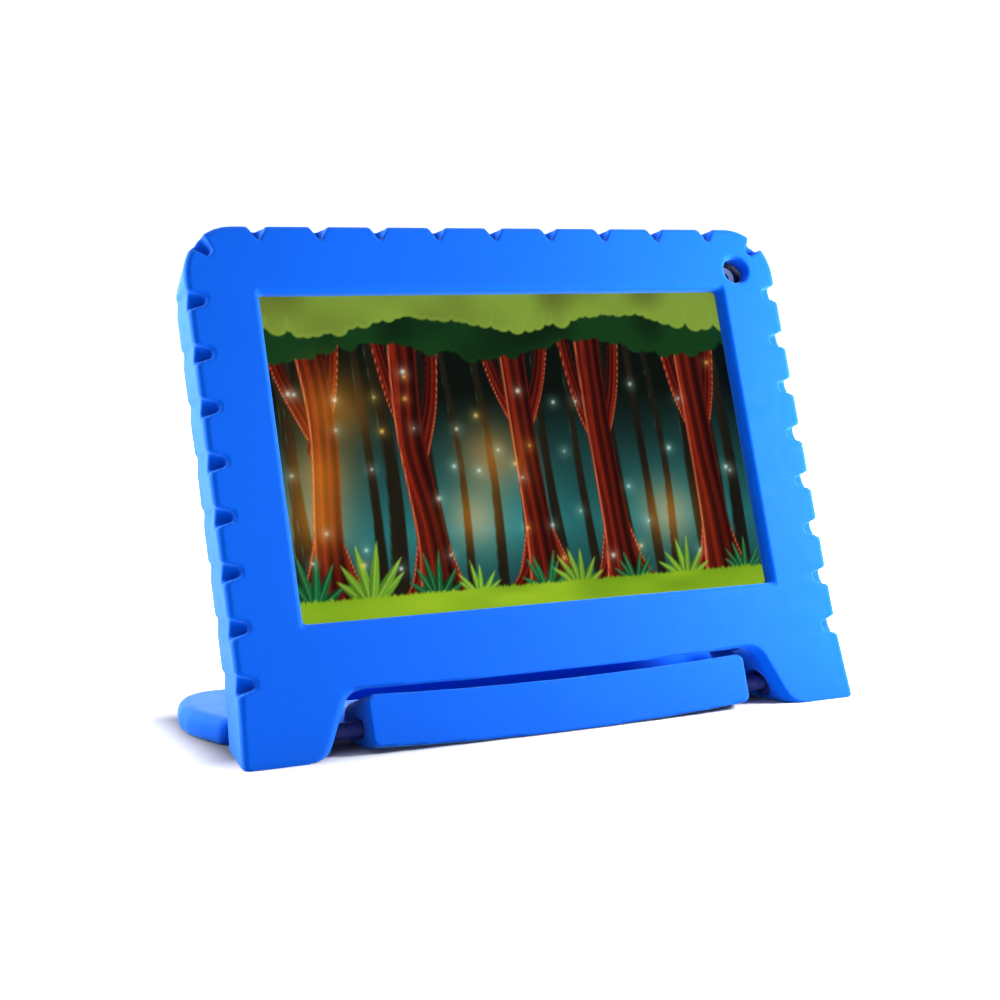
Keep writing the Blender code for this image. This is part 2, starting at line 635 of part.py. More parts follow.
def middle_frame():
    """A tray that holds the display in front and carries the board on four bosses behind."""
    front, web, back = 6.4 * MM, 9.6 * MM, 10.2 * MM
    edge = BODY_X - COVER_WALL - GAP
    low, high = BODY_LOW + COVER_WALL + GAP, BODY_HIGH - COVER_WALL - GAP
    tray = piece("middle_frame", prism(rectangle(edge, low, high, 5 * MM), front, back), STEEL)
    bosses = bmesh.new()
    pilots = bmesh.new()
    for x, z in board_corners():
        bosses.from_mesh(drum(2.2 * MM, back - 0.3 * MM, BOARD_Y[0] - GAP, "Y", (x, z), sides=16))
        pilots.from_mesh(drum(0.95 * MM, web - MM, BOARD_Y[0] + MM, "Y", (x, z), sides=12))
    boss_mesh, pilot_mesh = bpy.data.meshes.new("bosses"), bpy.data.meshes.new("pilots")
    bosses.to_mesh(boss_mesh)
    pilots.to_mesh(pilot_mesh)
    bosses.free()
    pilots.free()
    combine(tray, "UNION", "bosses", boss_mesh)
    cut(tray, "pilots", pilot_mesh)
    bed = prism(rectangle(PANEL_X + GAP, PANEL_LOW - GAP, PANEL_HIGH + GAP, 1 * MM), front - MM, web)
    cut(tray, "display_bed", bed)
    cut(tray, "camera_bore", drum(3 * MM, front - MM, back + MM, "Y", (CAMERA_X - MM, CAMERA_Z - MM)))
    socket_room = block((83.5 * MM, edge + MM), (7.4 * MM, back + MM), (USB_Z - 5 * MM, USB_Z + 5 * MM))
    cut(tray, "usb_room", socket_room)
    jack_high = (JACK_Z - 3.2 * MM, JACK_Z + 3.2 * MM)
    cut(tray, "jack_room", block((PANEL_X + 0.9 * MM, edge + MM), (7.4 * MM, back + MM), jack_high))
    key_room = block((20 * MM, 54 * MM), (7.4 * MM, back + MM), (138.8 * MM, high + MM))
    cut(tray, "key_room", key_room)


# ---- board and what is on it ----

def board_corners():
    margin = 3.2 * MM
    across = (BOARD_X[0] + margin, BOARD_X[1] - margin)
    up = (BOARD_Z[0] + margin, BOARD_Z[1] - margin)
    return [(x, z) for x in across for z in up]


def main_board():
    board = piece("main_board", block(BOARD_X, BOARD_Y, BOARD_Z), BOARD_GREEN)
    holes = bmesh.new()
    for x, z in board_corners():
        holes.from_mesh(drum(1 * MM, BOARD_Y[0] - MM, BOARD_Y[1] + MM, "Y", (x, z), sides=12))
    mesh = bpy.data.meshes.new("screw_holes")
    holes.to_mesh(mesh)
    holes.free()
    cut(board, "screw_holes", mesh)
    for number, (x, z) in enumerate(board_corners(), start=1):
        head = drum(1.5 * MM, BEHIND_BOARD, 12.9 * MM, "Y", (x, z), sides=16)
        screw = piece(f"board_screw_{number}", head, STEEL)
        shank = drum(0.65 * MM, 9.8 * MM, BEHIND_BOARD + 0.2 * MM, "Y", (x, z), sides=12)
        combine(screw, "UNION", "shank", shank)
        cross = block((x - 0.9 * MM, x + 0.9 * MM), (12.6 * MM, 13.5 * MM), (z - 0.2 * MM, z + 0.2 * MM))
        cut(screw, "slot", cross)


def board_parts():
    behind = BEHIND_BOARD
    can = block((44 * MM, 66 * MM), (behind, 13.3 * MM), (96 * MM, 116 * MM))
    shield = piece("processor_shield", can, STEEL)
    round_edges(shield, 0.4 * MM, segments=1)
    plug = block((27 * MM, 33 * MM), (behind, 13.3 * MM), (104 * MM, 110 * MM))
    piece("battery_connector", plug, WHITE_FILM)
    card = piece("memory_card_socket", block((74 * MM, 88.8 * MM), (behind, 13.4 * MM),
                                             (CARD_Z - 6.2 * MM, CARD_Z + 6.2 * MM)), STEEL)
    card_slot = (CARD_Z - 5.5 * MM, CARD_Z + 5.5 * MM)
    cut(card, "mouth", block((76 * MM, 90 * MM), (behind + 0.3 * MM, 13.1 * MM), card_slot))
    usb = piece("usb_socket", block((BOARD_X[1] + GAP, 91 * MM), (SOCKET_Y - 1.4 * MM, SOCKET_Y + 1.4 * MM),
                                    (USB_Z - 3.8 * MM, USB_Z + 3.8 * MM)), STEEL)
    round_edges(usb, 0.5 * MM, segments=1)
    cut(usb, "mouth", block((86 * MM, 92 * MM), (SOCKET_Y - 1.05 * MM, SOCKET_Y + 1.05 * MM),
                            (USB_Z - 3.4 * MM, USB_Z + 3.4 * MM)))
    combine(usb, "UNION", "tongue", block((85.5 * MM, 90 * MM), (SOCKET_Y - 0.3 * MM, SOCKET_Y + 0.3 * MM),
                                          (USB_Z - 2.6 * MM, USB_Z + 2.6 * MM)))
    barrel = drum(2.6 * MM, BOARD_X[1] + GAP, 90 * MM, "X", (SOCKET_Y, JACK_Z))
    jack = piece("audio_jack_socket", barrel, BLACK_PLASTIC)
    cut(jack, "mouth", drum(1.8 * MM, 85.5 * MM, 91 * MM, "X", (SOCKET_Y, JACK_Z)))


def battery():
    pouch = block((-64 * MM, 16 * MM), (10.5 * MM, 13.3 * MM), (62 * MM, 122 * MM))
    pack = piece("battery_pack", pouch, SILVER_POUCH)
    round_edges(pack, 1 * MM)
    curve = bpy.data.curves.new("battery_lead", "CURVE")
    curve.dimensions = "3D"
    curve.bevel_depth = 0.5 * MM
    curve.bevel_resolution = 2
    curve.use_fill_caps = True
    start, end = Vector((16.4, 12.7, 98)) * MM, Vector((26.6, 12.75, 107)) * MM
    spline = curve.splines.new("POLY")
    steps = 8
    spline.points.add(steps)
    for k, point in enumerate(spline.points):
        share = k / steps
        along = start.lerp(end, share)
        along.z = start.z + (end.z - start.z) * (3 * share ** 2 - 2 * share ** 3)
        point.co = (*along, 1)
    lead = bpy.data.objects.new("battery_lead", curve)
    parts.objects.link(lead)
    lead.parent = case_frame
    curve.materials.append(RED_LEAD)


def film_parts():
    piece("display_flex", block((30 * MM, 44 * MM), (10.5 * MM, 10.8 * MM), (60 * MM, 84 * MM)), AMBER_FILM)
    piece("antenna", block((-50 * MM, -18 * MM), (12.6 * MM, 13.3 * MM), (137 * MM, 143.6 * MM)), AMBER_FILM)


def sound_and_cameras():
    speaker = piece("speaker", block((SPEAKER_X - 9 * MM, SPEAKER_X + 9 * MM), (10.5 * MM, 13.3 * MM),
                                     (SPEAKER_Z - 8 * MM, SPEAKER_Z + 8 * MM)), BLACK_PLASTIC)
    round_edges(speaker, 1 * MM, segments=1)
    piece("microphone", drum(2 * MM, 10.5 * MM, 12.3 * MM, "Y", (-30 * MM, 33.5 * MM), sides=16), STEEL)
    camera_at = (CAMERA_X - MM, CAMERA_Z - MM)
    camera = piece("front_camera", drum(2.6 * MM, 6.4 * MM, 9.8 * MM, "Y", camera_at), BLACK_PLASTIC)
    cut(camera, "lens_cup", drum(1.5 * MM, 6 * MM, 7 * MM, "Y", camera_at, sides=16))
    lens_at = (REAR_CAMERA_X, REAR_CAMERA_Z)
    body = block((lens_at[0] - 4.5 * MM, lens_at[0] + 4.5 * MM), (10.5 * MM, 12.6 * MM),
                 (lens_at[1] - 4.5 * MM, lens_at[1] + 4.5 * MM))
    rear = piece("rear_camera", body, BLACK_PLASTIC)
    combine(rear, "UNION", "barrel", drum(2.6 * MM, 12.4 * MM, 13.6 * MM, "Y", lens_at))
    window = drum(3.1 * MM, 13.9 * MM, 14.9 * MM, "Y", lens_at)
    piece("rear_camera_window", window, GLASS)


def controls():
    """A press button over its switch, and a rocker with a switch under each end, in the top edge."""
    inside_top = BODY_HIGH - COVER_WALL
    flange = (inside_top - GAP - 0.7 * MM, inside_top - GAP)
    switch = (139.3 * MM, 143.1 * MM)
    thick = (BUTTON_Y - 1.35 * MM, BUTTON_Y + 1.35 * MM)
    wide = (BUTTON_Y - 2.0 * MM, BUTTON_Y + 2.0 * MM)
    for name, x in (
        ("power_switch", POWER_X),
        ("volume_switch_up", VOLUME_X + SWITCH_OFFSET),
        ("volume_switch_down", VOLUME_X - SWITCH_OFFSET),
    ):
        sides = (BUTTON_Y - 1.6 * MM, BUTTON_Y + 1.6 * MM)
        piece(name, block((x - 2 * MM, x + 2 * MM), sides, switch), STEEL)
    rocker_centre = ((flange[0] + BUTTON_TOP) / 2)
    for name, x, half, pivot_z in (
        ("power_button", POWER_X, POWER_HALF, BUTTON_TOP),
        ("volume_rocker", VOLUME_X, VOLUME_HALF, rocker_centre),
    ):
        axis = empty(f"{name}_axis", case_frame.matrix_world @ Matrix.Translation((x, BUTTON_Y, pivot_z)))
        back_to_pivot = Matrix.Translation((-x, -BUTTON_Y, -pivot_z))
        cap_mesh = block((x - half, x + half), thick, (flange[0], BUTTON_TOP))
        cap_mesh.transform(back_to_pivot)
        cap = piece(name, cap_mesh, BLACK_PLASTIC, parent=axis)
        round_edges(cap, 0.35 * MM, segments=1)
        lip = block((x - half - 0.8 * MM, x + half + 0.8 * MM), wide, flange)
        lip.transform(back_to_pivot)
        combine(cap, "UNION", "flange", lip, axis)


bumper_case()
stand_handle()
hinge_pins_and_bushes()
back_cover()
display_stack()
middle_frame()
main_board()
board_parts()
battery()
film_parts()
sound_and_cameras()
controls()
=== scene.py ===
"""Looks for the kids' tablet in its foam bumper case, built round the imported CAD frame.

Lengths are in metres. What is drawn upright uses x across, y back from the case's front face and z up it, and
is then leaned back with the CASE matrix.
"""

import json
import math

import bmesh
import bpy
import numpy as np
from mathutils import Euler, Matrix, Vector


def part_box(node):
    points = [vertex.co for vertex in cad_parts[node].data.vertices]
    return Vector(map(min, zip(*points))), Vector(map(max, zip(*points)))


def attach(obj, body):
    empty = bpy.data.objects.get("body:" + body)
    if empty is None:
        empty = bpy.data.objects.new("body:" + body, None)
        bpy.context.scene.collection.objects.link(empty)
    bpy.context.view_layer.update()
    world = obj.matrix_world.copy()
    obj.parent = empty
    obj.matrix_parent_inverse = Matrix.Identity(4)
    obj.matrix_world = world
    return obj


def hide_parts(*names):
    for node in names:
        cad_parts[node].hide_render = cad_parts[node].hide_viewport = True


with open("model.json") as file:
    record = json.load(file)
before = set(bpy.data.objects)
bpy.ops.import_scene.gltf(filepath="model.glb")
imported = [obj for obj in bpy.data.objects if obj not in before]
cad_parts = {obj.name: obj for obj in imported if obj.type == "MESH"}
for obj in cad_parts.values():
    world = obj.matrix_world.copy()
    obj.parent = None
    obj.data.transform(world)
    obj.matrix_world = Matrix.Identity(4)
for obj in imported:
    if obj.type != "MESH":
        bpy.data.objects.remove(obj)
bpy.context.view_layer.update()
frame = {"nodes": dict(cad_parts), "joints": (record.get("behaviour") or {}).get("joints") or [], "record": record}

MM = 0.001
SCENE = bpy.context.scene
joints = {joint["name"]: joint for joint in frame["joints"]}
press = joints["power_press"]["axis"]
LEAN = math.atan2(-press[1], -press[2])
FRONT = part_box("bumper_case")[0][1]
CASE = Matrix.Translation((0, FRONT, 0)) @ Matrix.Rotation(-LEAN, 4, "X")


def upright_box(node):
    """(lowest corner, highest corner) of a CAD node in the case's upright frame."""
    back = CASE.inverted()
    points = np.array([back @ vertex.co for vertex in frame["nodes"][node].data.vertices])
    return points.min(axis=0), points.max(axis=0)


# ---- camera ----

camera = bpy.data.objects.new("camera", bpy.data.cameras.new("camera"))
camera.data.lens = 70.5
camera.data.sensor_width = 36
camera.data.clip_end = 20
camera.location = (-0.2744, FRONT - 0.4900, 0.1381)
camera.rotation_euler = Euler((math.radians(90 - 7.08), 0, math.radians(-27.05)))
SCENE.collection.objects.link(camera)
SCENE.camera = camera


# ---- shader helpers ----

class Finish:
    """A node material built outwards from its Principled shader, with patterns placed in the row frame."""

    def __init__(self, name, colour, roughness, **sockets):
        self.material = bpy.data.materials.new(name)
        self.material.use_nodes = True
        self.tree = self.material.node_tree
        self.shader = self.tree.nodes["Principled BSDF"]
        self.shader.inputs["Base Color"].default_value = (*colour, 1)
        self.shader.inputs["Roughness"].default_value = roughness
        for socket, value in sockets.items():
            self.shader.inputs[socket.replace("_", " ")].default_value = value
        self.place = self.node("ShaderNodeTexCoord").outputs["Object"]
        self.normal = None

    def node(self, kind, **inputs):
        made = self.tree.nodes.new(kind)
        for name, value in inputs.items():
            self.feed(made.inputs[name.replace("_", " ")], value)
        return made

    def feed(self, socket, value):
        if isinstance(value, bpy.types.NodeSocket):
            self.tree.links.new(value, socket)
        else:
            socket.default_value = value

    def noise(self, scale, detail=3.0, stretch=(1, 1, 1)):
        place = self.place
        if stretch != (1, 1, 1):
            place = self.node("ShaderNodeMapping", Vector=place, Scale=stretch).outputs["Vector"]
        return self.node("ShaderNodeTexNoise", Vector=place, Scale=scale, Detail=detail).outputs["Fac"]

    def voronoi(self, scale):
        return self.node("ShaderNodeTexVoronoi", Vector=self.place, Scale=scale).outputs["Distance"]

    def vector(self, operation, value, by=(0, 0, 0)):
        made = self.node("ShaderNodeVectorMath")
        made.operation = operation
        self.feed(made.inputs[0], value)
        made.inputs[1].default_value = by
        return made.outputs["Value" if operation == "LENGTH" else "Vector"]

    def spread(self, value, low, high, start=0.3, end=0.7):
        """Maps start to end onto low to high. The usual start and end suit a noise."""
        made = self.node("ShaderNodeMapRange", Value=value)
        for name, number in zip(("From Min", "From Max", "To Min", "To Max"), (start, end, low, high)):
            made.inputs[name].default_value = number
        return made.outputs["Result"]

    def colours(self, value, low, high):
        made = self.node("ShaderNodeMix")
        made.data_type = "RGBA"
        self.feed(made.inputs[0], value)
        made.inputs[6].default_value = (*low, 1)
        made.inputs[7].default_value = (*high, 1)
        return made.outputs[2]

    def vary_colour(self, value, low, high):
        self.feed(self.shader.inputs["Base Color"], self.colours(value, low, high))

    def vary_roughness(self, value, low, high):
        self.feed(self.shader.inputs["Roughness"], self.spread(value, low, high))

    def bump(self, height, depth, strength=1.0):
        made = self.node("ShaderNodeBump", Height=height, Distance=depth, Strength=strength)
        if self.normal is not None:
            self.tree.links.new(self.normal, made.inputs["Normal"])
        self.normal = made.outputs["Normal"]
        self.tree.links.new(self.normal, self.shader.inputs["Normal"])


# ---- materials ----

def foam_finish(name):
    """Moulded EVA foam: an even blue with a fine pebbled skin and faint clouding."""
    made = Finish(
        name, (0.0, 0.066, 0.49), 0.73, Specular_IOR_Level=0.2, Specular_Tint=(0.03, 0.4, 0.9, 1),
        Sheen_Weight=0.24, Sheen_Roughness=0.42, Sheen_Tint=(0.25, 0.78, 1.0, 1),
    )
    cloud = made.spread(made.noise(14, 2), 0, 1)
    made.vary_colour(cloud, (0.0, 0.063, 0.475), (0.0, 0.069, 0.505))
    made.vary_roughness(made.noise(260, 3), 0.67, 0.79)
    made.bump(made.voronoi(2600), 0.03 * MM, 0.5)
    made.bump(made.noise(900, 3), 0.05 * MM, 0.5)
    made.bump(made.noise(70, 2), 0.12 * MM, 0.35)
    return made.material


def plastic_finish(name, colour, roughness, lighter):
    """Injection-moulded plastic with a fine spark-eroded grain."""
    made = Finish(name, colour, roughness)
    made.vary_colour(made.noise(40, 2), colour, lighter)
    made.vary_roughness(made.noise(500, 2), roughness * 0.85, roughness * 1.15)
    made.bump(made.noise(2400, 2), 0.02 * MM, 0.4)
    return made.material


def metal_finish(name, colour, roughness):
    """Stamped steel, brushed along x."""
    made = Finish(name, colour, roughness, Metallic=1.0)
    brushed = made.noise(900, 3, stretch=(0.04, 1, 1))
    made.vary_colour(brushed, tuple(c * 0.85 for c in colour), colour)
    made.vary_roughness(brushed, roughness * 0.8, roughness * 1.3)
    made.bump(brushed, 0.01 * MM, 0.4)
    return made.material


def glass_finish(name):
    """Cover glass, clear, with the faintest smears in its gloss."""
    made = Finish(name, (1, 1, 1), 0.02, Transmission_Weight=1.0, IOR=1.22)
    made.vary_roughness(made.noise(25, 3), 0.008, 0.03)
    return made.material


def board_finish(name):
    """Green solder mask over a pattern of copper tracks."""
    made = Finish(name, (0.02, 0.2, 0.09), 0.35, Coat_Weight=0.4)
    tracks = made.node("ShaderNodeTexBrick", Vector=made.place, Scale=420.0)
    tracks.inputs["Color1"].default_value = (0.015, 0.16, 0.07, 1)
    tracks.inputs["Color2"].default_value = (0.02, 0.2, 0.09, 1)
    tracks.inputs["Mortar"].default_value = (0.06, 0.32, 0.14, 1)
    made.feed(made.shader.inputs["Base Color"], tracks.outputs["Color"])
    made.vary_roughness(made.noise(300, 2), 0.3, 0.45)
    made.bump(tracks.outputs["Fac"], 0.02 * MM, 0.5)
    return made.material


def pouch_finish(name):
    """The battery's crinkled foil pouch."""
    made = Finish(name, (0.62, 0.63, 0.65), 0.3, Metallic=0.85)
    made.vary_roughness(made.noise(120, 3), 0.22, 0.42)
    made.bump(made.noise(160, 4), 0.15 * MM, 0.5)
    return made.material


def film_finish(name, colour, lighter, roughness=0.35):
    """Thin plastic film with fine drawn lines."""
    made = Finish(name, colour, roughness, Coat_Weight=0.2)
    lines = made.noise(700, 2, stretch=(1, 1, 0.03))
    made.vary_colour(lines, colour, lighter)
    made.vary_roughness(lines, roughness * 0.8, roughness * 1.2)
    return made.material


FOAM = foam_finish("foam_skin")
finishes = {
    "blue_foam": FOAM,
    # The hinge plastic's near-black navy, darker than the foam, is painted shade: it keeps the hinge pins as dark
    # as the shaded gaps they sit in.
    "hinge_plastic": plastic_finish("hinge_plastic_shade_dark_skin", (0.0, 0.006, 0.1), 0.7, (0.0, 0.009, 0.13)),
    "black_plastic": plastic_finish("black_plastic_skin", (0.012, 0.012, 0.014), 0.38, (0.02, 0.02, 0.023)),
    "cover_glass": glass_finish("cover_glass_skin"),
    "display_panel": film_finish("panel_skin", (0.03, 0.07, 0.05), (0.05, 0.1, 0.08), 0.2),
    "white_film": film_finish("white_film_skin", (0.8, 0.82, 0.85), (0.9, 0.91, 0.93)),
    "steel": metal_finish("steel_skin", (0.56, 0.57, 0.59), 0.3),
    "circuit_board": board_finish("board_skin"),
    "battery_pouch": pouch_finish("pouch_skin"),
    "red_lead": plastic_finish("red_lead_skin", (0.5, 0.02, 0.015), 0.4, (0.6, 0.03, 0.02)),
    "amber_film": film_finish("amber_film_skin", (0.6, 0.25, 0.03), (0.72, 0.34, 0.05)),
}
for subpart in frame["record"]["subparts"]:
    shown = frame["nodes"][subpart["node"]]
    shown.data.materials.clear()
    shown.data.materials.append(finishes[subpart["material_slot"]])


# ---- mesh helpers ----

def add(name, mesh, finish, body="case", smooth=True):
    """Makes a piece of the object from a mesh in the row frame."""
    made = bpy.data.objects.new(name, mesh)
    SCENE.collection.objects.link(made)
    mesh.name = name
    mesh.materials.clear()
    mesh.materials.append(finish)
    if smooth:
        mesh.shade_smooth()
    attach(made, body)
    return made


def baked(holder):
    """The holder's mesh with its modifiers applied. The holder is removed."""
    bpy.context.view_layer.update()
    graph = bpy.context.evaluated_depsgraph_get()
    mesh = bpy.data.meshes.new_from_object(holder.evaluated_get(graph))
    old = holder.data
    bpy.data.objects.remove(holder)
    bpy.data.meshes.remove(old)
    return mesh


def moulded(name, node, body, voxel, passes, share):
    """Stands for a foam CAD node: the same shape with the soft edges of a moulding, and no flat facets.

    It is remeshed at the voxel size, smoothed that many times, and thinned to a share of its faces.
    """
    mesh = frame["nodes"][node].data.copy()
    mesh.transform(CASE.inverted())
    holder = bpy.data.objects.new("holder", mesh)
    SCENE.collection.objects.link(holder)
    remesh = holder.modifiers.new("skin", "REMESH")
    remesh.mode = "VOXEL"
    remesh.voxel_size = voxel
    soften = holder.modifiers.new("soften", "SMOOTH")
    soften.factor = 0.5
    soften.iterations = passes
    thin = holder.modifiers.new("thin", "DECIMATE")
    thin.ratio = share
    mesh = baked(holder)
    mesh.transform(CASE)
    made = add(name, mesh, FOAM, body)
    even = made.modifiers.new("even_shading", "WEIGHTED_NORMAL")
    even.weight = 60
    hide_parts(node)


coarser = 1.0
moulded("foam_case", "bumper_case", "case", 0.62 * MM * coarser, 3, 0.35)
moulded("foam_handle", "stand_handle", "stand", 0.55 * MM * coarser, 5, 0.45)


# ---- the picture on the screen, painted by formula ----

ROWS, COLUMNS = 248, 398  # squares down and across the picture; as many squares as one piece may have
panel_low, panel_high = upright_box("display_panel")
ASPECT = (panel_high[0] - panel_low[0]) / (panel_high[2] - panel_low[2])
X, Y = np.meshgrid(np.linspace(0, ASPECT, COLUMNS + 1), np.linspace(0, 1, ROWS + 1))  # in picture heights
EDGE = 1.1 / ROWS  # how soft a painted edge is
picture = np.zeros((ROWS + 1, COLUMNS + 1, 3))


def rgb(red, green, blue):
    return np.array((red, green, blue)) / 255


def mottle(scale_x, scale_y, seed):
    """Smooth seeded noise from 0 to 1 with this many cells per unit."""
    cells = np.random.default_rng(seed).random((int(scale_y) + 3, int(scale_x * ASPECT) + 3))
    across, up = X * scale_x, Y * scale_y
    i, j = up.astype(int), across.astype(int)
    a, b = up - i, across - j
    a, b = a * a * (3 - 2 * a), b * b * (3 - 2 * b)
    low = cells[i, j] * (1 - b) + cells[i, j + 1] * b
    high = cells[i + 1, j] * (1 - b) + cells[i + 1, j + 1] * b
    return low * (1 - a) + high * a


def inside(distance, softness=EDGE):
    """1 where a signed distance is negative, and 0 where it is positive."""
    return np.clip(0.5 - distance / softness, 0, 1)


def paint(colour, mask):
    mask = mask[..., None]
    picture[:] = picture * (1 - mask) + colour * mask


def glow(x, y, radius, colour, strength):
    """Light added round a point."""
    near = np.exp(-((X - x) ** 2 + (Y - y) ** 2) / radius ** 2)
    picture[:] = 1 - (1 - picture) * (1 - np.clip(near * strength, 0, 1)[..., None] * colour)


def along(points, steps=6):
    """A smooth path through (x, y, radius) points."""
    points = np.array([points[0], *points, points[-1]], float)
    path = []
    for k in range(len(points) - 3):
        p0, p1, p2, p3 = points[k:k + 4]
        for t in np.arange(steps) / steps:
            path.append(0.5 * (
                2 * p1 + (p2 - p0) * t + (2 * p0 - 5 * p1 + 4 * p2 - p3) * t ** 2
                + (3 * p1 - p0 - 3 * p2 + p3) * t ** 3
            ))
    return np.array([*path, points[-2]])


def limb(points):
    """Signed distance to a limb that follows the path, how far across it (-1 to 1) and how far along it."""
    path = along(points)
    best = np.full(X.shape, 9.0)
    across, length = np.zeros(X.shape), np.zeros(X.shape)
    run = 0.0
    for (ax, ay, ar), (bx, by, br) in zip(path, path[1:]):
        dx, dy = bx - ax, by - ay
        size = max(math.hypot(dx, dy), 1e-6)
        t = np.clip(((X - ax) * dx + (Y - ay) * dy) / size ** 2, 0, 1)
        radius = ar + (br - ar) * t
        off_x, off_y = X - ax - dx * t, Y - ay - dy * t
        distance = np.hypot(off_x, off_y) - radius
        nearer = distance < best
        best[nearer] = distance[nearer]
        side = (off_x * dy - off_y * dx) / size / radius
        across[nearer] = side[nearer]
        length[nearer] = (run + t * size)[nearer]
        run += size
    return best, across, length


def bark(points, seed, lit=-1):
    """A red-brown limb with long streaks of bark, rimmed with orange light on its lit side."""
    distance, across, length = limb(points)
    shape = inside(distance)
    wander = mottle(5, 4, seed) * 2.4
    streak = 0.5 + 0.5 * np.sin(across * 8.5 + wander * 3 + length * 3)
    fine = 0.5 + 0.5 * np.sin(across * 21 + wander * 7)
    body = np.clip(0.18 + 0.55 * streak + 0.4 * across * lit + 0.12 * fine, 0, 1)[..., None] ** 1.3
    paint(rgb(34, 5, 5) * (1 - body) + rgb(132, 33, 16) * body, shape)
    edge = inside(np.abs(across - lit * 0.92) - 0.05, 0.10) * shape
    paint(rgb(236, 128, 84), edge * 0.85)
    paint(rgb(120, 30, 18), inside(np.abs(across + lit * 0.93) - 0.04, 0.10) * shape * 0.7)
    crease = inside(np.abs(np.sin(across * 5.5 + wander * 2.2)) - 0.06, 0.18) * shape
    paint(rgb(34, 4, 6), crease * 0.55)


def leaf(x, y, length, width, turn, colour, rib):
    """A pointed leaf that starts at x, y and leans by `turn` degrees from upright."""
    angle = math.radians(turn)
    up = (X - x) * math.sin(angle) + (Y - y) * math.cos(angle)
    side = (X - x) * math.cos(angle) - (Y - y) * math.sin(angle)
    share = np.clip(up / length, 0, 1)
    half = width * np.sqrt(share + 0.02) * (1 - share) * 1.9
    shape = inside(np.maximum(np.abs(side) - half, np.maximum(-up, up - length)))
    shade = (0.72 + 0.28 * np.clip(side / (width + 1e-6) + 0.6, 0, 1))[..., None]
    picture[:] = picture * (1 - shape[..., None]) + colour * shade * shape[..., None]
    paint(rib, inside(np.abs(side) - 0.0016) * shape * 0.8)


def far_tree(points):
    """A dark trunk with one edge lit by the mist."""
    distance, across, _ = limb(points)
    shape = inside(distance)
    tone = (0.5 + 0.5 * mottle(30, 4, 21))[..., None]
    paint(rgb(8, 10, 8) * (1 - tone) + rgb(34, 30, 20) * tone, shape)
    paint(rgb(52, 120, 108), inside(np.abs(across + 0.9) - 0.04, 0.12) * shape * 0.6)


def leaves_above(y, deep, seed, colour, lighter):
    """A bank of leaves across the top with a scalloped lower edge."""
    random = np.random.default_rng(seed)
    distance = y + deep * 0.2 - Y
    x = -0.02
    while x < ASPECT + 0.05:
        radius = deep * (0.28 + 0.36 * random.random())
        centre = y + deep * (0.45 * math.sin(x * 9 + seed) + 0.3 * random.random())
        distance = np.minimum(distance, np.hypot(X - x, np.minimum(Y - centre, 0)) - radius)
        x += radius * (1.0 + 0.35 * random.random())
    tone = np.clip(0.25 + 1.1 * mottle(9, 9, seed + 1) - (Y - y) * 1.6, 0, 1)[..., None]
    paint(colour * (1 - tone) + lighter * tone, inside(distance))
    paint(lighter * 1.08, inside(np.abs(distance + 0.007) - 0.0025, 0.008) * 0.5)


def fan(x, y, size, count, spread, colour, rib, seed):
    """A tuft of pointed leaves that open over `spread` degrees, the outer ones painted first."""
    random = np.random.default_rng(seed)
    for k in sorted(range(count), key=lambda k: -abs(k - (count - 1) / 2)):
        turn = (k / (count - 1) - 0.5) * spread + random.uniform(-6, 6)
        length = size * (1.0 - 0.35 * abs(k / (count - 1) - 0.5) * 2 + random.uniform(-0.08, 0.08))
        leaf(x + turn * 0.0003, y, length, size * 0.11, turn, colour * random.uniform(0.85, 1.1), rib)


def backdrop():
    """Mist between the trees, dark above and pale towards the ground."""
    mist = np.clip(1 - np.abs(Y - 0.26) / 0.42, 0, 1) * (0.55 + 0.45 * mottle(5, 3, 3))
    paint(rgb(8, 15, 11), np.ones(X.shape))
    paint(rgb(50, 138, 140), mist)


def far_trees():
    """A row of thin far trunks, set about evenly."""
    random = np.random.default_rng(5)
    for x in np.arange(0.03, ASPECT, 0.08):
        foot, sway = x + random.uniform(-0.03, 0.03), random.uniform(-0.03, 0.03)
        thick = random.uniform(0.01, 0.024)
        far_tree([(foot, 0.05, thick * 1.4), (foot + sway, 0.45, thick), (foot, 0.95, thick * 0.8)])


def near_trees(count=5):
    """Evenly spaced upright trunks, each with a root and a bough to either side.

    A limb is a list of (x, y, radius) points, in picture heights and, for the radius, in trunk thicknesses.
    """
    random = np.random.default_rng(8)
    for number in range(count):
        x = ASPECT * (number + 0.5) / count + random.uniform(-0.04, 0.04)
        lean, thick = random.uniform(-0.03, 0.03), random.uniform(0.042, 0.056)
        for side in (-1, 1):
            fork = random.uniform(0.48, 0.6)
            reach = side * random.uniform(0.09, 0.13)
            bough = [(x, fork, 0.6), (x + reach * 0.6, fork + 0.16, 0.45), (x + reach, 0.92, 0.4)]
            root = [(x + reach, 0.07, 0.25), (x + reach * 0.5, 0.13, 0.55), (x, 0.3, 0.7)]
            bark([(across, up, share * thick) for across, up, share in bough], 30 + number, side)
            bark([(across, up, share * thick) for across, up, share in root], 50 + number, side)
        trunk = [(x, 0.04, 1.4), (x, 0.25, 1), (x + lean, 0.6, 0.9), (x, 0.95, 1)]
        bark([(across, up, share * thick) for across, up, share in trunk], 40 + number)


def warm_light():
    """Patches of evening light between the trunks."""
    random = np.random.default_rng(17)
    for _ in range(6):
        x, y = random.uniform(0.1, ASPECT - 0.1), random.uniform(0.2, 0.65)
        glow(x, y, random.uniform(0.07, 0.12), rgb(240, 140, 30), 0.5)


def undergrowth():
    """Tufts of leaves along the grass, dark and light by turns."""
    random = np.random.default_rng(70)
    greens = ((rgb(20, 94, 52), rgb(88, 160, 98)), (rgb(112, 170, 44), rgb(178, 212, 86)))
    for number in range(9):
        x = ASPECT * (number + 0.5) / 9 + random.uniform(-0.04, 0.04)
        fan(x, 0.07, random.uniform(0.1, 0.19), 6, 110, *greens[number % 2], 71 + number)


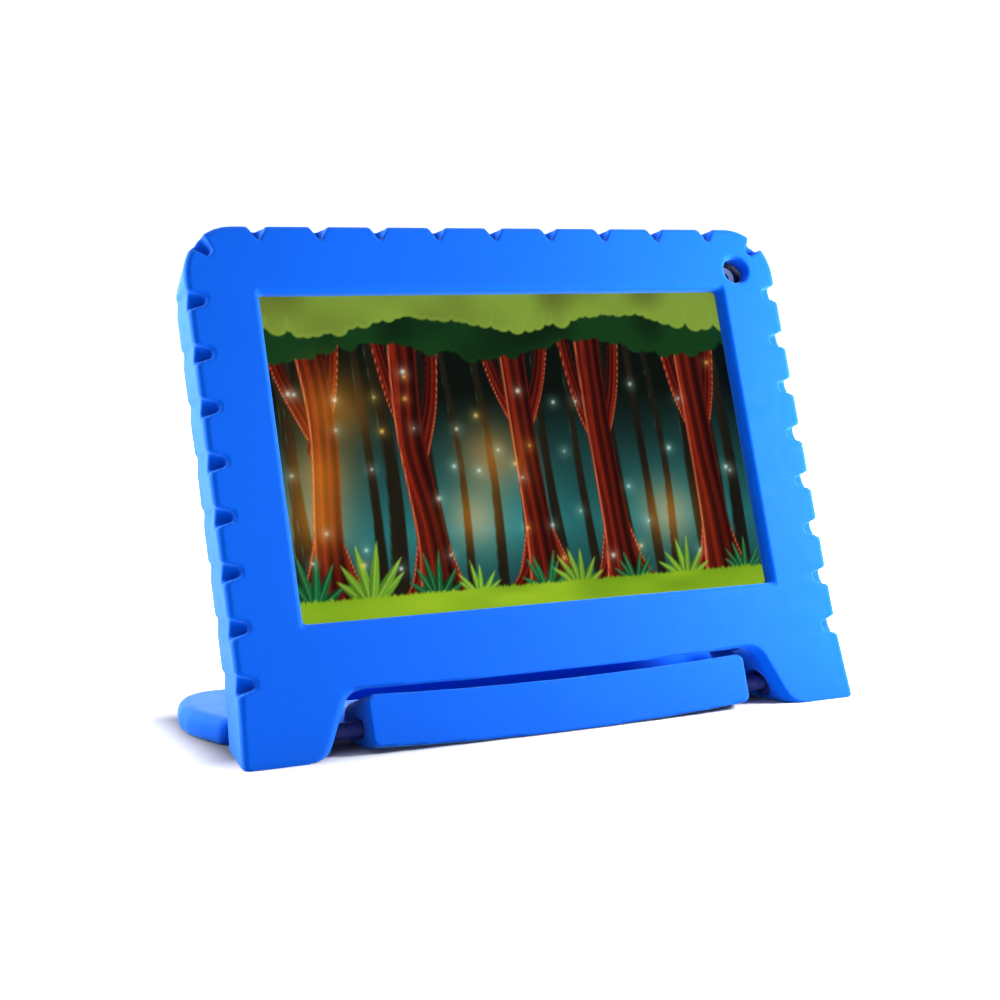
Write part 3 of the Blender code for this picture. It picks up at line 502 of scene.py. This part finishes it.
def grass():
    """A strip of lawn with an uneven row of blades along its top."""
    blades = 0.083 + 0.010 * np.abs(np.sin(X * 190 + 3 * mottle(40, 2, 81))) * mottle(60, 2, 82)
    turf = np.clip(0.2 + 0.9 * mottle(7, 22, 83), 0, 1)[..., None]
    paint(rgb(104, 148, 24) * (1 - turf) + rgb(152, 190, 38) * turf, inside(Y - blades, 0.008))


def fireflies():
    """Specks of light in the air, warm and pale ones mixed."""
    random = np.random.default_rng(90)
    for _ in range(46):
        x, y = random.uniform(0.02, ASPECT - 0.02), random.uniform(0.12, 0.78)
        colour = rgb(255, 196, 84) if random.random() < 0.4 else rgb(190, 236, 214)
        glow(x, y, 0.022, colour, 0.22)
        glow(x, y, random.uniform(0.0035, 0.0075), colour, random.uniform(0.6, 0.95))


def paint_picture():
    """A generic evening wood, laid out by seeded loops."""
    backdrop()
    far_trees()
    near_trees()
    leaves_above(0.83, 0.06, 61, rgb(7, 26, 12), rgb(18, 58, 24))
    leaves_above(0.91, 0.06, 66, rgb(88, 98, 36), rgb(126, 154, 56))
    warm_light()
    undergrowth()
    grass()
    fireflies()


def linear(colours):
    return np.where(colours <= 0.04045, colours / 12.92, ((colours + 0.055) / 1.055) ** 2.4)


def picture_sheet():
    """The lit picture, a flat grid in front of the display panel with one painted colour for each point."""
    paint_picture()
    depth = panel_low[1] - 0.12 * MM
    across = panel_low[0] + X / ASPECT * (panel_high[0] - panel_low[0])
    up = panel_low[2] + Y * (panel_high[2] - panel_low[2])
    points = np.stack([across, np.full(X.shape, depth), up], axis=-1).reshape(-1, 3)
    number = np.arange(points.shape[0]).reshape(X.shape)
    corners = (number[:-1, :-1], number[:-1, 1:], number[1:, 1:], number[1:, :-1])
    mesh = bpy.data.meshes.new("picture")
    mesh.from_pydata(points.tolist(), [], np.stack(corners, axis=-1).reshape(-1, 4).tolist())
    painted = mesh.color_attributes.new("painted", "FLOAT_COLOR", "POINT")
    seen = linear(np.clip(picture, 0, 1)).reshape(-1, 3)
    colours = np.concatenate([seen, np.ones((len(points), 1))], axis=1)
    painted.data.foreach_set("color", colours.astype(np.float32).ravel())
    mesh.transform(CASE)
    finish = Finish("lit_picture", (0, 0, 0), 0.4, Emission_Strength=1.0, Specular_IOR_Level=0.0)
    colour = finish.node("ShaderNodeVertexColor")
    colour.layer_name = "painted"
    finish.feed(finish.shader.inputs["Emission Color"], colour.outputs["Color"])
    add("screen_picture", mesh, finish.material)


picture_sheet()


# ---- black border printed behind the glass, and the lenses ----

def ring_sheet(outer, inner, y, holes=()):
    """A flat sheet between two closed outlines of (x, z) points, with more holes, facing the front."""
    curve = bpy.data.curves.new("ring", "CURVE")
    curve.dimensions = "2D"
    curve.fill_mode = "BOTH"
    curve.extrude = 0.02 * MM
    for outline in (outer, inner, *holes):
        spline = curve.splines.new("POLY")
        spline.points.add(len(outline) - 1)
        for point, (x, z) in zip(spline.points, outline):
            point.co = (x, z, 0, 1)
        spline.use_cyclic_u = True
    holder = bpy.data.objects.new("ring", curve)
    SCENE.collection.objects.link(holder)
    graph = bpy.context.evaluated_depsgraph_get()
    mesh = bpy.data.meshes.new_from_object(holder.evaluated_get(graph))
    bpy.data.objects.remove(holder)
    bpy.data.curves.remove(curve)
    mesh.transform(CASE @ Matrix.Translation((0, y, 0)) @ Matrix.Rotation(math.pi / 2, 4, "X"))
    return mesh


def rectangle(low, high):
    return [(low[0], low[2]), (high[0], low[2]), (high[0], high[2]), (low[0], high[2])]


def circle(x, z, radius, count=40):
    return [
        (x + radius * math.cos(2 * math.pi * k / count), z + radius * math.sin(2 * math.pi * k / count))
        for k in range(count)
    ]


def turned(profile, centre, count=48):
    """A body of revolution about the case's front-to-back axis from (radius, depth) points, at (x, z)."""
    bm = bmesh.new()
    rings = []
    for radius, depth in profile:
        if radius < 1e-7:
            rings.append([bm.verts.new((centre[0], depth, centre[1]))] * count)
            continue
        rings.append([bm.verts.new((x, depth, z)) for x, z in circle(*centre, radius, count)])
    for one, other in zip(rings, rings[1:]):
        for k in range(count):
            corners = dict.fromkeys((one[k - 1], one[k], other[k], other[k - 1]))
            if len(corners) > 2:
                bm.faces.new(corners)
    bmesh.ops.recalc_face_normals(bm, faces=bm.faces)
    mesh = bpy.data.meshes.new("turned")
    bm.to_mesh(mesh)
    bm.free()
    mesh.transform(CASE)
    return mesh


glass_low, glass_high = upright_box("cover_glass")
eye_low, eye_high = upright_box("front_camera")
eye = ((eye_low[0] + eye_high[0]) / 2, (eye_low[2] + eye_high[2]) / 2)
ink_y = (glass_high[1] + panel_low[1]) / 2
INK_INSET = np.array((0.6 * MM, 0, 0.6 * MM))
EYE_HOLE = 1.7 * MM  # radius of the clear spot in the border, in front of the camera

ink = ring_sheet(
    rectangle(glass_low + INK_INSET, glass_high - INK_INSET),
    rectangle(panel_low, panel_high), ink_y - 0.1 * MM, [circle(*eye, EYE_HOLE)],
)
add("glass_border", ink, finishes["black_plastic"], smooth=False)

RING = Finish("lens_ring_skin", (0.72, 0.86, 0.9), 0.3)
RING.vary_roughness(RING.noise(900, 2), 0.25, 0.4)
ring = ring_sheet(circle(*eye, 3.6 * MM), circle(*eye, EYE_HOLE + 0.05 * MM), ink_y - 0.16 * MM)
add("lens_ring", ring, RING.material, smooth=False)

LENS = Finish("lens_skin", (0.01, 0.012, 0.02), 0.05, Coat_Weight=1.0, Coat_Roughness=0.03)
LENS.vary_colour(LENS.noise(500, 2), (0.008, 0.01, 0.02), (0.02, 0.02, 0.045))
LENS_PROFILE = ((0, 0.15), (0.6, 0.2), (1.1, 0.34), (1.4, 0.52), (1.4, 0.58), (0, 0.58))  # mm
front_lens = turned([(radius * MM, eye_low[1] + depth * MM) for radius, depth in LENS_PROFILE], eye)
add("front_lens", front_lens, LENS.material)


# ---- floor and light ----

SHADE_BACK = 5 * MM  # the painted contact shade: how far behind the origin, half its size and its fade
SHADE_HALF = (98 * MM, 25 * MM, 0)
SHADE_FADE = 27 * MM


def floor_finish(colour):
    """White paper that glows a little far from the object, with a soft contact shade under it."""
    made = Finish("floor_paper", colour, 0.9, Specular_IOR_Level=0.1, Emission_Color=(1, 1, 1, 1))
    glowing = made.spread(made.vector("LENGTH", made.place), 0, 0.7, 0.2, 0.9)
    made.feed(made.shader.inputs["Emission Strength"], glowing)
    aside = made.vector("ABSOLUTE", made.vector("ADD", made.place, (0, -SHADE_BACK, 0)))
    outside = made.vector("MAXIMUM", made.vector("SUBTRACT", aside, SHADE_HALF))
    fade = made.spread(made.vector("LENGTH", outside), 0, 1, 0, SHADE_FADE)
    made.vary_colour(fade, (0.08, 0.085, 0.11), colour)
    made.vary_roughness(made.noise(30, 2), 0.85, 0.95)
    return made.material


def sweep():
    """A floor that curves up into a backdrop all the way round."""
    bm = bmesh.new()
    rings = []
    for radius, height in ((0, 0), (1.2, 0), (2.4, 0), (2.9, 0.08), (3.3, 0.3), (3.6, 0.7), (3.7, 1.3)):
        rings.append([
            bm.verts.new((radius * math.cos(math.tau * k / 64), radius * math.sin(math.tau * k / 64), height))
            for k in range(64 if radius else 1)
        ])
    for one, other in zip(rings, rings[1:]):
        for k in range(64):
            if len(one) == 1:
                bm.faces.new((one[0], other[k - 1], other[k]))
            else:
                bm.faces.new((one[k - 1], other[k - 1], other[k], one[k]))
    bmesh.ops.recalc_face_normals(bm, faces=bm.faces)
    bmesh.ops.reverse_faces(bm, faces=bm.faces)
    mesh = bpy.data.meshes.new("sweep")
    bm.to_mesh(mesh)
    bm.free()
    return mesh


floor = bpy.data.objects.new("floor", sweep())
SCENE.collection.objects.link(floor)
floor.data.materials.append(floor_finish((0.93, 0.93, 0.94)))
floor.data.shade_smooth()


def softbox(name, place, target, size, power):
    """A white area light that points at the target."""
    light = bpy.data.lights.new(name, "AREA")
    light.shape = "RECTANGLE"
    light.size, light.size_y = size
    light.energy = power
    made = bpy.data.objects.new(name, light)
    SCENE.collection.objects.link(made)
    made.location = place
    made.rotation_euler = (Vector(target) - Vector(place)).to_track_quat("-Z", "Y").to_euler()


softbox("key_right", (0.28, -0.12, 0.15), (0.03, 0, 0.08), (0.06, 0.10), 3.5)
softbox("rim_left", (-0.42, 0.24, 0.26), (-0.09, 0, 0.06), (0.25, 0.3), 6.5)
softbox("back_low", (0.15, 0.9, 0.2), (-0.1, 0, 0.02), (0.5, 0.25), 4)
softbox("top", (0, 0.5, 1.3), (0, 0.05, 0), (1.6, 1.6), 24)
world = bpy.data.worlds.new("studio")
world.use_nodes = True
world.node_tree.nodes["Background"].inputs["Color"].default_value = (1, 1, 1, 1)
world.node_tree.nodes["Background"].inputs["Strength"].default_value = 0.08
SCENE.world = world
SCENE.view_settings.view_transform = "Standard"
